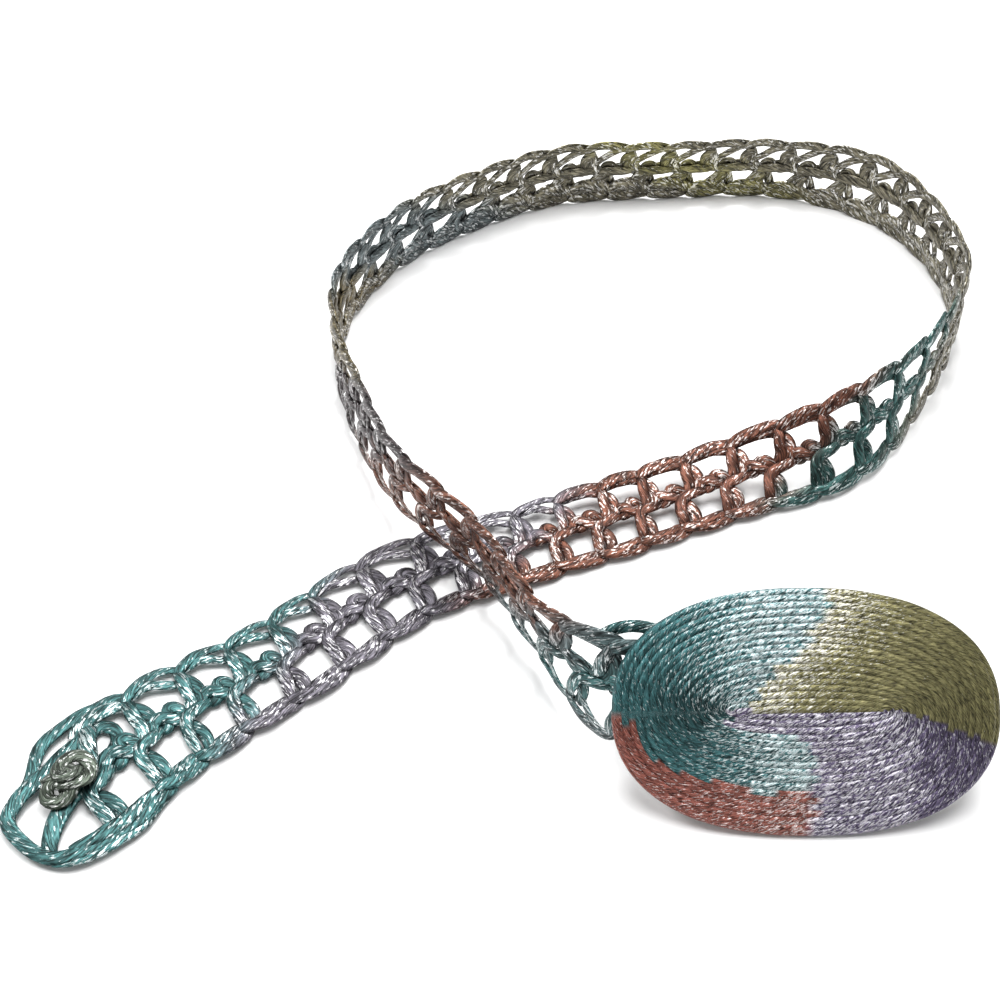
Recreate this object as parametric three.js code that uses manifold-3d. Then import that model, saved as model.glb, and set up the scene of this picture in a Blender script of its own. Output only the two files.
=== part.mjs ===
// A braided belt: an open knotted strap of flat ribbon, coiled once on a table, with an oval buckle of wound cord.
// Millimetres, +Z up. The strap's travel runs from its free tip to the buckle, counter-clockwise from above.
import * as THREE from "three";
import { mergeVertices } from "three/addons/utils/BufferGeometryUtils.js";
import Module from "manifold-3d";

const wasm = await Module();
wasm.setup();

// Driving sizes
const loop = { width: 220, depth: 208 };
const strap = { width: 30, thickness: 3.6, pitch: 15.6 };
const tip = { length: 27, turns: 8, barWidth: 4, barAngle: 22 };
const rungs = { width: 5, thickness: 2.4 };
const spine = { width: 5, thickness: 3 };
const clearance = 0.4;
const crossing = { clearance: 0.8 };
const buckle = { slot: 37, height: 62, rimThickness: 4, dome: 3, windings: 15, ridge: 0.5, tilt: 40, roundness: 2.3 };
const buckleSeat = { across: 0.365, away: -0.475 };
const overlap = { before: 4, start: 2, length: 9, raise: 3.5, clearance: 0.8 };
const knot = { length: 11, width: 9, height: 5, along: 0.62, lump: 0.07 };
const hook = { length: 24, width: 12, wire: 1.6, throat: 6.8, reach: 14, lip: 3, bendSteps: 6 };
const tie = { width: 2.6, thickness: 1.6, rise: 1.4, start: 4, steps: 8 };
// No rail or rung starts or ends closer than this share of the pitch to an end of the net.
const END_MARGIN = 0.05;

const buckleLength = buckle.slot + buckle.height;
const turnWidth = buckle.height / 2 / buckle.windings;
const UP = new THREE.Vector3(0, 0, 1);
const radians = THREE.MathUtils.degToRad;

// The strap's centre line: across and away are shares of the loop's width and depth.
// lean is the band's turn from standing on its edge (0) to lying flat (90), lift is a share of the crossing's height.
const ROUTE = [
  { across: -0.553, away: -0.622, lean: 90, lift: 0 },
  { across: -0.435, away: -0.459, lean: 90, lift: 0 },
  { across: -0.278, away: -0.325, lean: 90, lift: 0 },
  { across: -0.126, away: -0.18, lean: 90, lift: 0 },
  { across: 0.032, away: -0.108, lean: 88, lift: 0 },
  { across: 0.184, away: -0.047, lean: 82, lift: 0 },
  { across: 0.345, away: 0.02, lean: 73, lift: 0 },
  { across: 0.495, away: 0.067, lean: 40, lift: 0 },
  { across: 0.632, away: 0.207, lean: 9, lift: 0 },
  { across: 0.736, away: 0.428, lean: 0, lift: 0 },
  { across: 0.723, away: 0.615, lean: 4, lift: 0 },
  { across: 0.65, away: 0.755, lean: 0, lift: 0 },
  { across: 0.5, away: 0.822, lean: 13, lift: 0 },
  { across: 0.3, away: 0.818, lean: 14, lift: 0 },
  { across: 0.105, away: 0.798, lean: 10, lift: 0 },
  { across: -0.045, away: 0.712, lean: 9, lift: 0 },
  { across: -0.173, away: 0.59, lean: 6, lift: 0 },
  { across: -0.25, away: 0.42, lean: 0, lift: 0 },
  { across: -0.247, away: 0.265, lean: 0, lift: 0 },
  { across: -0.209, away: 0.13, lean: 3, lift: 0.1 },
  { across: -0.143, away: -0.045, lean: -3, lift: 1 },
  { across: -0.023, away: -0.202, lean: -7, lift: 1 },
  { across: 0.048, away: -0.335, lean: -7, lift: 0.75 },
  { across: 0.095, away: -0.402, lean: 10, lift: 0.8 },
];

// The net spreads towards its free end: along is a distance from the tip as a share of the tip's length.
const SPREAD = [
  { along: 0, share: 1.25 },
  { along: 0.8, share: 1.42 },
  { along: 1.8, share: 1.32 },
  { along: 3, share: 1.19 },
  { along: 5, share: 1.16 },
  { along: 7, share: 1.06 },
  { along: 9, share: 1 },
];

// One repeat of a rail, in shares of the pitch along and of the strap's width across.
const RAIL = [
  { along: 0.18, centre: 0.4, half: 0.055 },
  { along: 0.48, centre: 0.42, half: 0.073 },
  { along: 0.8, centre: 0.415, half: 0.085 },
];
// A rung leaves its rail and leans back to the spine.
const RUNG = [
  { along: 1.02, across: 0.4, out: 0 },
  { along: 0.94, across: 0.22, out: 0.2 },
  { along: 0.78, across: 0.03, out: 0 },
];
// The spine swings from side to side between the two rows of gaps.
const SPINE = [
  { along: 0.48, across: -0.02 },
  { along: 0.98, across: 0.03 },
];
// The lower row is the upper row turned over and set along by this share of the pitch.
const LOWER_SHIFT = 0.4;

// Cross-sections as corners, in shares of half the width (across) and half the thickness (out)
const FLAT_BAR = [
  { across: 1, out: 1 },
  { across: -1, out: 1 },
  { across: -1, out: -1 },
  { across: 1, out: -1 },
];
// A rail is rounded outside the net and flat inside it, where the rungs join.
const RAIL_BAR = [
  { across: 1, out: 0.9 },
  { across: -0.4, out: 1 },
  { across: -1, out: 0 },
  { across: -0.4, out: -1 },
  { across: 1, out: -0.9 },
];
const ROUND_BAR = [
  { across: 1, out: 0 },
  { across: 0.5, out: 1 },
  { across: -0.5, out: 1 },
  { across: -1, out: 0 },
  { across: -0.5, out: -1 },
  { across: 0.5, out: -1 },
];

function material(color, roughness, metalness) {
  return new THREE.MeshStandardMaterial({ color, roughness, metalness });
}

// A closed body from rings of corners, with both ends capped.
function bodyFromRings(rings) {
  const count = rings[0].length;
  const positions = rings.flat().flatMap((corner) => [corner.x, corner.y, corner.z]);
  const index = [];
  for (let ring = 0; ring + 1 < rings.length; ring += 1) {
    for (let side = 0; side < count; side += 1) {
      const next = (side + 1) % count;
      const a = ring * count + side;
      const b = ring * count + next;
      index.push(a, b, b + count, a, b + count, a + count);
    }
  }
  const last = (rings.length - 1) * count;
  for (let side = 1; side + 1 < count; side += 1) {
    index.push(0, side + 1, side);
    index.push(last, last + side, last + side + 1);
  }
  const geometry = new THREE.BufferGeometry();
  geometry.setAttribute("position", new THREE.Float32BufferAttribute(positions, 3));
  geometry.setIndex(index);
  return geometry;
}

// A bar along points that hold { at, width, thickness }, with its width across the given outward direction.
function bar(points, section, outward = UP) {
  const rings = points.map(({ at, width, thickness }, i) => {
    const before = points[Math.max(i - 1, 0)].at;
    const after = points[Math.min(i + 1, points.length - 1)].at;
    const forward = after.clone().sub(before).normalize();
    const side = outward.clone().cross(forward).normalize();
    const out = forward.clone().cross(side);
    return section.map((corner) =>
      at
        .clone()
        .addScaledVector(side, (corner.across * width) / 2)
        .addScaledVector(out, (corner.out * thickness) / 2),
    );
  });
  return bodyFromRings(rings);
}

function toSolid(geometry) {
  const bare = geometry.clone();
  bare.deleteAttribute("normal");
  bare.deleteAttribute("uv");
  const merged = mergeVertices(bare, 1e-4);
  const mesh = new wasm.Mesh({
    numProp: 3,
    vertProperties: new Float32Array(merged.attributes.position.array),
    triVerts: new Uint32Array(merged.index.array),
  });
  return new wasm.Manifold(mesh);
}

function toGeometry(solid) {
  const { vertProperties, triVerts, numProp } = solid.getMesh();
  const positions = [];
  for (let i = 0; i < vertProperties.length; i += numProp) {
    positions.push(vertProperties[i], vertProperties[i + 1], vertProperties[i + 2]);
  }
  const geometry = new THREE.BufferGeometry();
  geometry.setAttribute("position", new THREE.Float32BufferAttribute(positions, 3));
  geometry.setIndex(Array.from(triVerts));
  return geometry;
}

// Joins neighbours pair by pair, so that long rows of small bars join quickly.
function join(geometries) {
  let solids = geometries.map(toSolid);
  while (solids.length > 1) {
    const joined = [];
    for (let i = 0; i < solids.length; i += 2) {
      joined.push(i + 1 < solids.length ? solids[i].add(solids[i + 1]) : solids[i]);
    }
    solids = joined;
  }
  return toGeometry(solids[0]);
}

function between(rows, column, along) {
  const after = rows.findIndex((row) => row.along >= along);
  if (after < 0) return rows[rows.length - 1][column];
  if (after === 0) return rows[0][column];
  const [low, high] = [rows[after - 1], rows[after]];
  const share = (along - low.along) / (high.along - low.along);
  return THREE.MathUtils.lerp(low[column], high[column], THREE.MathUtils.smoothstep(share, 0, 1));
}

// The buckle lies on its lower edge and leans back. Its own frame is x along, y up the face and z out of the face.
const buckleFrame = new THREE.Matrix4()
  .makeTranslation(
    buckleSeat.across * loop.width,
    buckleSeat.away * loop.depth,
    (buckle.height / 2 - turnWidth / 2) * Math.sin(radians(buckle.tilt)),
  )
  .multiply(new THREE.Matrix4().makeRotationX(radians(buckle.tilt)));

// The strap's centre line and the direction across its width, both as smooth curves through the route.
function makeRoute() {
  const crossingHeight = strap.thickness + crossing.clearance;
  const flat = ROUTE.map((row) => new THREE.Vector2(row.across * loop.width, row.away * loop.depth));
  const centres = ROUTE.map((row, i) => {
    const lean = radians(row.lean);
    const edge = (strap.width / 2) * Math.abs(Math.cos(lean)) + (strap.thickness / 2) * Math.sin(Math.abs(lean));
    return new THREE.Vector3(flat[i].x, flat[i].y, edge + row.lift * crossingHeight);
  });
  const widths = ROUTE.map((row, i) => {
    const lean = radians(row.lean);
    const before = centres[Math.max(i - 1, 0)];
    const after = centres[Math.min(i + 1, centres.length - 1)];
    const left = UP.clone().cross(after.clone().sub(before)).normalize();
    return UP.clone().multiplyScalar(Math.cos(lean)).addScaledVector(left, Math.sin(lean));
  });
  // The last stretch lies against the buckle's back.
  const behind = -(strap.thickness / 2 + overlap.clearance);
  const edge = -buckleLength / 2;
  for (const along of [edge - overlap.before, edge + overlap.start, edge + overlap.length]) {
    centres.push(new THREE.Vector3(along, overlap.raise, behind).applyMatrix4(buckleFrame));
    widths.push(new THREE.Vector3(0, 1, 0).transformDirection(buckleFrame));
  }
  const centre = new THREE.CatmullRomCurve3(centres, false, "centripetal");
  const width = new THREE.CatmullRomCurve3(widths, false, "centripetal");
  centre.arcLengthDivisions = 40 * centres.length;
  return { centre, width, length: centre.getLength() };
}
const route = makeRoute();

// Takes a point of the flat net (x along, y across, z out) to its place on the route.
function ontoRoute(point) {
  const share = THREE.MathUtils.clamp(point.x / route.length, 0, 1);
  const t = route.centre.getUtoTmapping(share);
  const forward = route.centre.getTangent(t);
  const across = route.width.getPoint(t);
  across.addScaledVector(forward, -across.dot(forward)).normalize();
  const out = forward.clone().cross(across);
  const past = point.x - share * route.length;
  return route.centre
    .getPoint(t)
    .addScaledVector(forward, past)
    .addScaledVector(across, point.y * between(SPREAD, "share", point.x / tip.length))
    .addScaledVector(out, point.z);
}

const netStart = tip.length;
const units = Math.round((route.length - netStart) / strap.pitch);
const pitch = (route.length - netStart) / units;

// A bar from rows of along, across and out, for one unit of the net and one side of it.
function unitBar(rows, unit, side, shift, width, thickness) {
  const points = rows.map((row) => ({
    at: new THREE.Vector3(
      netStart + (unit + row.along + shift) * pitch,
      side * row.across * strap.width,
      row.out * strap.thickness,
    ),
    width,
    thickness,
  }));
  return bar(points, FLAT_BAR);
}

function inNet(row, unit, shift) {
  const along = unit + row.along + shift;
  return along > END_MARGIN && along < units - END_MARGIN;
}

// The round end: a point of the rail's centre line, at an angle from straight ahead.
function turnPoint(angle) {
  const half = RAIL[1].half * strap.width;
  return new THREE.Vector3(
    netStart - (netStart - half) * Math.cos(angle),
    RAIL[1].centre * strap.width * Math.sin(angle),
    0,
  );
}

// The two rails are one bar, which turns round the tip.
function railBar() {
  const railSide = (side, shift) => {
    const points = [];
    for (let unit = -1; unit <= units; unit += 1) {
      for (const row of RAIL.filter((step) => inNet(step, unit, shift))) {
        points.push({
          at: new THREE.Vector3(
            netStart + (unit + row.along + shift) * pitch,
            side * row.centre * strap.width,
            0,
          ),
          width: 2 * row.half * strap.width,
          thickness: strap.thickness,
        });
      }
    }
    const end = points[points.length - 1];
    points.push({ ...end, at: new THREE.Vector3(route.length, end.at.y, 0) });
    return points;
  };
  const turn = [];
  for (let i = 0; i <= tip.turns; i += 1) {
    turn.push({
      at: turnPoint(Math.PI / 2 - (i / tip.turns) * Math.PI),
      width: 2 * RAIL[1].half * strap.width,
      thickness: strap.thickness,
    });
  }
  return bar([...railSide(1, 0).reverse(), ...turn, ...railSide(-1, LOWER_SHIFT)], RAIL_BAR);
}

function spineBar() {
  const points = [];
  for (let unit = 0; unit < units; unit += 1) {
    for (const row of SPINE) {
      points.push({
        at: new THREE.Vector3(
          netStart + (unit + row.along) * pitch,
          row.across * strap.width,
          0,
        ),
        width: spine.width,
        thickness: spine.thickness,
      });
    }
  }
  return bar(points, FLAT_BAR);
}

// A bar crosses the round end from the lower rail to the start of the spine.
function tipBar() {
  const start = turnPoint(-radians(tip.barAngle));
  const end = new THREE.Vector3(netStart + SPINE[0].along * pitch, SPINE[0].across * strap.width, 0);
  return bar(
    [start, end].map((at) => ({ at, width: tip.barWidth, thickness: rungs.thickness })),
    FLAT_BAR,
  );
}

function strapGeometry() {
  const bars = [];
  for (let unit = 0; unit < units; unit += 1) {
    for (const [side, shift] of [[1, 0], [-1, LOWER_SHIFT]]) {
      if (inNet(RUNG[0], unit, shift)) {
        bars.push(unitBar(RUNG, unit, side, shift, rungs.width, rungs.thickness));
      }
    }
  }
  bars.push(unitBar(RUNG, -1, 1, 0, rungs.width, rungs.thickness));
  const flatNet = join([railBar(), spineBar(), tipBar(), ...bars]);
  const position = flatNet.getAttribute("position");
  const point = new THREE.Vector3();
  for (let i = 0; i < position.count; i += 1) {
    const placed = ontoRoute(point.fromBufferAttribute(position, i));
    position.setXYZ(i, placed.x, placed.y, placed.z);
  }
  return flatNet;
}

// An oval at a distance from the buckle's slot line, as corners counter-clockwise from above its face.
const OVAL_STEPS = 28;
function oval(reach, height) {
  const power = 2 / buckle.roundness;
  const corners = [];
  for (let i = 0; i < OVAL_STEPS; i += 1) {
    const angle = (i / OVAL_STEPS) * 2 * Math.PI;
    const shape = (value) => Math.sign(value) * Math.abs(value) ** power;
    corners.push(
      new THREE.Vector3(
        (buckle.slot / 2 + reach) * shape(Math.cos(angle)),
        reach * shape(Math.sin(angle)),
        height,
      ),
    );
  }
  return corners;
}

// The face is a low dome of turns of cord, with a groove between each two turns and a flat back.
function buckleGeometry() {
  const reach = buckle.height / 2;
  const faceHeight = (distance) =>
    buckle.rimThickness + buckle.dome * (1 - (distance / reach) ** 2);
  const rings = [oval(reach - turnWidth / 2, 0), oval(reach, buckle.rimThickness / 2)];
  for (let i = buckle.windings - 1; i >= 0; i -= 1) {
    const crest = (i + 0.5) * turnWidth;
    rings.push(oval(crest, faceHeight(crest)));
    if (i > 0) rings.push(oval(i * turnWidth, faceHeight(i * turnWidth) - buckle.ridge));
  }
  return bodyFromRings(rings);
}

// A plain strip bent back on itself, behind the buckle's far end. Its mouth faces the strap's end of the buckle.
function hookGeometry() {
  const end = buckle.slot / 2 + hook.reach / 2;
  const top = -clearance - hook.wire / 2;
  const bottom = top - hook.throat - hook.wire;
  const middle = (top + bottom) / 2;
  const radius = (top - bottom) / 2;
  const bend = [];
  for (let i = 0; i <= hook.bendSteps; i += 1) {
    const angle = Math.PI / 2 - (i / hook.bendSteps) * Math.PI;
    bend.push([end + radius * Math.cos(angle), middle + radius * Math.sin(angle)]);
  }
  const line = [
    [end - hook.length, top],
    ...bend,
    [end - hook.reach, bottom],
    [end - hook.reach - hook.lip, bottom - hook.lip / 2],
  ];
  const points = line.map(([x, z]) => ({
    at: new THREE.Vector3(x, 0, z),
    width: hook.wire,
    thickness: hook.width,
  }));
  return bar(points, FLAT_BAR, new THREE.Vector3(0, 1, 0));
}

// The last strand of the strap's upper rail arcs over to the buckle's back.
function tieGeometry() {
  const behind = -(clearance + tie.thickness / 2);
  const foot = overlap.raise + (strap.width + tie.width) / 2 + overlap.clearance;
  const start = -buckleLength / 2 - tie.start;
  // It ends where the buckle is one strand wider than the arc's foot.
  const height = Math.min((foot + tie.width) / (buckle.height / 2), 0.95);
  const end = (-buckleLength / 2) * (1 - height ** buckle.roundness) ** (1 / buckle.roundness);
  const points = [];
  for (let i = 0; i <= tie.steps; i += 1) {
    const share = i / tie.steps;
    points.push({
      at: new THREE.Vector3(
        THREE.MathUtils.lerp(start, end, share),
        foot + tie.rise * Math.sin(Math.PI * share),
        behind,
      ),
      width: tie.width,
      thickness: tie.thickness,
    });
  }
  return bar(points, ROUND_BAR);
}

// A lumpy ball of turns, tied in the middle of the round end. Its lumps are waves over the ball, in radians.
const LUMPS = { along: 14, across: 11, turn: 5 };
function knotGeometry() {
  const shape = new THREE.IcosahedronGeometry(0.5, 1);
  const position = shape.getAttribute("position");
  const point = new THREE.Vector3();
  for (let i = 0; i < position.count; i += 1) {
    point.fromBufferAttribute(position, i);
    const lump = 1 + knot.lump * Math.sin(LUMPS.along * point.x + LUMPS.turn) * Math.cos(LUMPS.across * point.y);
    position.setXYZ(i, point.x * knot.length * lump, point.y * knot.width * lump, point.z * knot.height * lump);
  }
  shape.deleteAttribute("normal");
  shape.deleteAttribute("uv");
  return mergeVertices(shape, 1e-3);
}

const belt = new THREE.Group();
const strapMesh = new THREE.Mesh(strapGeometry(), material(0x8f8a84, 0.35, 0.6));
strapMesh.name = "braided_strap";
belt.add(strapMesh);

const buckleGroup = new THREE.Group();
buckleGroup.applyMatrix4(buckleFrame);
const buckleMesh = new THREE.Mesh(buckleGeometry(), material(0x7f9a90, 0.35, 0.6));
buckleMesh.name = "wound_buckle";
const hookMesh = new THREE.Mesh(hookGeometry(), material(0xc9b06a, 0.3, 0.9));
hookMesh.name = "hook";
const tieMesh = new THREE.Mesh(tieGeometry(), material(0x5f8582, 0.35, 0.6));
tieMesh.name = "tie_cord";
buckleGroup.add(buckleMesh, hookMesh, tieMesh);
belt.add(buckleGroup);

const knotMesh = new THREE.Mesh(knotGeometry(), material(0x6f705c, 0.4, 0.5));
knotMesh.name = "end_knot";
const knotHeight = (rungs.thickness + knot.height) / 2 + clearance;
knotMesh.position.copy(ontoRoute(new THREE.Vector3(netStart * knot.along, 0, knotHeight)));
belt.add(knotMesh);

// The origin is on the table, under the middle of the whole belt.
belt.updateMatrixWorld(true);
const box = new THREE.Box3().setFromObject(belt, true);
const middle = box.getCenter(new THREE.Vector3());
belt.position.set(-middle.x, -middle.y, -box.min.z);
belt.updateMatrixWorld(true);

export default belt;
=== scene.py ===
"""A braided belt of dyed metallic ribbon, coiled once on a table, with an oval buckle of wound cord."""
import math

import bpy
import numpy as np
from mathutils import Matrix, Vector


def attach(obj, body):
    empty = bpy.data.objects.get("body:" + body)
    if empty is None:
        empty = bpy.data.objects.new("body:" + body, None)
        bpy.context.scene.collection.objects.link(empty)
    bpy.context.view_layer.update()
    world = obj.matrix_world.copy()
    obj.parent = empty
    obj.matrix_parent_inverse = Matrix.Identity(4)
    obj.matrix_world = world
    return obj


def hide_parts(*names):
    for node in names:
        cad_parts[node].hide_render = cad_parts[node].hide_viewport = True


bl_info = {
    "name": "Braided Belt",
    "version": (1, 0, 0),
    "blender": (4, 5, 0),
    "location": "3D View > Sidebar > Belt",
    "description": "Builds a braided ribbon belt with a wound buckle, and a plain table for it",
    "category": "Add Mesh",
}

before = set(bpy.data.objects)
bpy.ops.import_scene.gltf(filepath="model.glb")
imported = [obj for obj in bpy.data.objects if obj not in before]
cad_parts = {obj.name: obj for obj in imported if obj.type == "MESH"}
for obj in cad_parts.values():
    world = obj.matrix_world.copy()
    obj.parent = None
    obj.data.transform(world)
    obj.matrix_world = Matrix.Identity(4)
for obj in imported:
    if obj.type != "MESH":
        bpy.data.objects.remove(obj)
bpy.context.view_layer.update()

MM = 0.001
UP = np.array((0.0, 0.0, 1.0))

# The strap's route and sizes are those of the solids, in millimetres and degrees.
LOOP_WIDTH = 220.0
LOOP_DEPTH = 208.0
STRAP_WIDTH = 30.0
STRAP_THICKNESS = 3.6
KNOT_PITCH = 15.6
TIP_LENGTH = 27.0
CROSSING_HEIGHT = 4.4
BELT_SHIFT = np.array((-18.476, -22.424, 0.072))

# Across and away as shares of the loop's width and depth, lean in degrees, and lift as a share of the
# crossing's height.
ROUTE = (
    (-0.553, -0.622, 90, 0),
    (-0.435, -0.459, 90, 0),
    (-0.278, -0.325, 90, 0),
    (-0.126, -0.18, 90, 0),
    (0.032, -0.108, 88, 0),
    (0.184, -0.047, 82, 0),
    (0.345, 0.02, 73, 0),
    (0.495, 0.067, 40, 0),
    (0.632, 0.207, 9, 0),
    (0.736, 0.428, 0, 0),
    (0.723, 0.615, 4, 0),
    (0.65, 0.755, 0, 0),
    (0.5, 0.822, 13, 0),
    (0.3, 0.818, 14, 0),
    (0.105, 0.798, 10, 0),
    (-0.045, 0.712, 9, 0),
    (-0.173, 0.59, 6, 0),
    (-0.25, 0.42, 0, 0),
    (-0.247, 0.265, 0, 0),
    (-0.209, 0.13, 3, 0.1),
    (-0.143, -0.045, -3, 1),
    (-0.023, -0.202, -7, 1),
    (0.048, -0.335, -7, 0.75),
    (0.095, -0.402, 10, 0.8),
)
# The net's spread: distance from the tip in tip lengths, and the share of the strap's width there.
SPREAD = ((0, 1.25), (0.8, 1.42), (1.8, 1.32), (3, 1.19), (5, 1.16), (7, 1.06), (9, 1))
# The knots slip along the strap a little: distance from the tip and slip, in millimetres.
SLIP = (
    (0, 0), (20, 2), (34, 4), (70, 3), (110, 3.5), (135, 5), (165, 5), (195, 2.5), (220, 0), (300, -1),
    (340, 0),
)

# The buckle's seat and shape, in millimetres and degrees.
BUCKLE_SEAT = (0.365 * LOOP_WIDTH, -0.475 * LOOP_DEPTH)
BUCKLE_SLOT = 37.0
BUCKLE_HEIGHT = 62.0
BUCKLE_RIM = 4.0
BUCKLE_DOME = 3.0
BUCKLE_TILT = 40.0
BUCKLE_ROUNDNESS = 2.3
SOLID_TURN = BUCKLE_HEIGHT / 2 / 15
STRAP_END = (-4.0, -11.0)
STRAP_RAISE = 3.5
WINDING_SHIFT = 1.2
STRAP_BEHIND = 2.6

# The tie ribbon in the buckle's own frame, in millimetres: its span along, its foot up the face, its rise.
TIE_SPAN = (-55.0, -37.0)
TIE_FOOT = 20.2
TIE_RISE = 1.8


def one_strand(width, turn, shine, points):
    """A strand of the net. Its width, turn and painted shine (the share of painted glints) are each a pair,
    for its start and its end.
    """
    return {"width": width, "turn": turn, "shine": shine, "points": points}


# One repeat of the net. Each point is along (in pitches from a knot), across (a share of the strap's width)
# and out (in millimetres).
UPPER_RAIL = (
    one_strand((1.2, 1.05), (-10, -4), (0.25, 0.5), (
        (-0.1, 0.37, 0.0), (0.06, 0.395, 0.8), (0.25, 0.42, 0.8), (0.5, 0.433, 0.5), (0.75, 0.433, 0.1),
        (0.98, 0.42, -0.5), (1.14, 0.385, -0.8))),
    one_strand((1.0, 1.0), (6, 0), (0.8, 0.5), (
        (-0.03, 0.4, -0.3), (0.12, 0.39, 0.1), (0.33, 0.395, 0.4), (0.55, 0.393, 0.3), (0.75, 0.375, 0.0),
        (0.92, 0.335, -0.4))),
)
OPEN_UPPER_RAIL = (
    one_strand((0.85, 0.6), (-10, -4), (0.25, 0.5), (
        (-0.08, 0.375, 0.0), (0.06, 0.405, 0.8), (0.25, 0.432, 0.8), (0.5, 0.452, 0.4),
        (0.75, 0.455, 0.0), (0.98, 0.435, -0.5), (1.12, 0.39, -0.8))),
    one_strand((0.7, 0.75), (10, 0), (1.0, 0.6), (
        (-0.03, 0.4, -0.3), (0.12, 0.388, 0.2), (0.36, 0.388, 0.5), (0.56, 0.358, 0.3),
        (0.75, 0.315, -0.1), (0.9, 0.295, -0.4))),
)
BACK_UPPER_RAIL = (
    one_strand((1.25, 1.0), (-10, -4), (0.2, 0.55), (
        (-0.12, 0.36, 0.2), (0.06, 0.38, 0.9), (0.25, 0.405, 0.8), (0.5, 0.43, 0.5), (0.75, 0.435, 0.1),
        (0.98, 0.425, -0.5), (1.14, 0.39, -0.8))),
    one_strand((0.9, 0.75), (0, 0), (0.5, 0.8), (
        (0.0, 0.38, -0.3), (0.15, 0.365, 0.4), (0.35, 0.315, 0.8), (0.6, 0.225, 0.8), (0.82, 0.13, 0.6),
        (1.0, 0.05, -0.3))),
)
UPPER_RUNGS = (
    one_strand((1.0, 1.05), (0, 12), (0.15, 0.1), (
        (0.86, 0.33, -0.6), (0.97, 0.31, -0.5), (1.07, 0.245, -0.1), (1.09, 0.15, 0.0), (1.03, 0.07, 0.1),
        (0.88, 0.02, -0.4))),
    one_strand((1.0, 1.05), (0, -12), (0.6, 1.0), (
        (1.02, 0.41, -0.8), (0.98, 0.35, 0.3), (0.93, 0.28, 1.1), (0.88, 0.19, 1.0), (0.85, 0.1, 0.5),
        (0.76, 0.04, 0.2), (0.62, 0.02, -0.4))),
)
SPINE_STRANDS = (
    one_strand((1.1, 1.1), (0, 0), (0.0, 0.0), (
        (-0.1, 0.04, -0.8), (0.2, 0.035, -0.7), (0.5, 0.03, -0.7), (0.72, 0.02, -0.8))),
    one_strand((0.9, 1.0), (0, 8), (0.4, 0.6), (
        (-0.12, 0.06, -0.5), (0.06, 0.085, 0.2), (0.22, 0.07, 0.8), (0.36, 0.01, 0.8), (0.5, -0.015, 0.4),
        (0.68, -0.01, -0.4))),
    one_strand((1.0, 1.0), (0, -8), (0.15, 0.25), (
        (0.1, 0.0, -0.7), (0.22, -0.005, 0.1), (0.34, 0.05, 0.3), (0.43, 0.1, 0.9), (0.54, 0.085, 1.0),
        (0.63, 0.03, 0.3), (0.67, -0.01, -0.6))),
    one_strand((0.9, 1.05), (-6, 12), (0.4, 1.0), (
        (1.14, 0.01, -0.6), (0.97, -0.01, 0.7), (0.77, -0.03, 1.1), (0.59, -0.045, 1.0),
        (0.47, -0.1, 1.0), (0.41, -0.17, 1.0), (0.37, -0.25, 0.9), (0.34, -0.31, 0.4),
        (0.33, -0.39, -0.7))),
    one_strand((0.95, 1.05), (10, 4), (0.1, 0.35), (
        (0.52, -0.05, -0.5), (0.6, -0.11, -0.1), (0.645, -0.19, 0.1), (0.63, -0.28, 0.1),
        (0.54, -0.36, -0.5))),
)
LOWER_RAIL = (
    one_strand((0.95, 0.8), (8, 2), (0.25, 0.35), (
        (0.24, -0.355, 0.2), (0.38, -0.385, 0.8), (0.56, -0.41, 0.8), (0.8, -0.425, 0.5),
        (1.08, -0.425, 0.0), (1.3, -0.41, -0.4), (1.44, -0.38, -0.8))),
    one_strand((0.8, 0.9), (-12, -8), (0.9, 0.6), (
        (0.36, -0.385, -0.5), (0.56, -0.375, 0.3), (0.75, -0.365, 0.5), (1.0, -0.355, 0.3),
        (1.2, -0.34, -0.2), (1.38, -0.35, -0.7))),
)
BACK_LOWER_RAIL = (
    one_strand((1.5, 1.3), (8, 2), (0.3, 0.6), LOWER_RAIL[0]["points"]),
    one_strand((1.5, 1.5), (-12, -8), (0.8, 0.7), (
        (0.36, -0.36, -0.5), (0.56, -0.33, 0.3), (0.75, -0.31, 0.5), (1.0, -0.3, 0.3), (1.2, -0.3, -0.2),
        (1.38, -0.33, -0.7))),
    one_strand((0.6, 0.7), (0, 0), (0.8, 0.6), (
        (0.62, 0.0, -0.6), (0.72, -0.08, 0.0), (0.85, -0.19, 0.4), (1.0, -0.29, 0.5), (1.16, -0.35, 0.2),
        (1.3, -0.38, -0.5))),
)
CLOSED_LOWER_RAIL = (
    one_strand((1.5, 1.3), (8, 2), (0.3, 0.6), LOWER_RAIL[0]["points"]),
    one_strand((1.9, 1.9), (-12, -8), (0.7, 0.6), (
        (0.36, -0.33, -0.5), (0.56, -0.28, 0.3), (0.75, -0.25, 0.5), (1.0, -0.23, 0.3),
        (1.2, -0.25, -0.2), (1.38, -0.3, -0.7))),
    one_strand((1.1, 1.0), (0, 0), (0.8, 0.6), BACK_LOWER_RAIL[2]["points"]),
)
CROSSING_LOWER_RAIL = (
    one_strand((0.85, 0.75), (8, 2), (0.3, 0.5), LOWER_RAIL[0]["points"]),
    one_strand((0.6, 0.55), (0, 0), (1.0, 0.8), (
        (0.3, -0.06, -0.5), (0.46, -0.14, 0.3), (0.7, -0.27, 0.7), (0.95, -0.355, 0.6),
        (1.2, -0.395, 0.3), (1.4, -0.4, -0.6))),
)
# The net is pulled differently in each part of the loop: the repeat up to which it lies open, and so on.
OPEN_UNTIL = 10
FRONT_UNTIL = 22
CLOSED_FROM = 31
CLOSED_UNTIL = 37
BACK_UNTIL = 43
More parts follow.
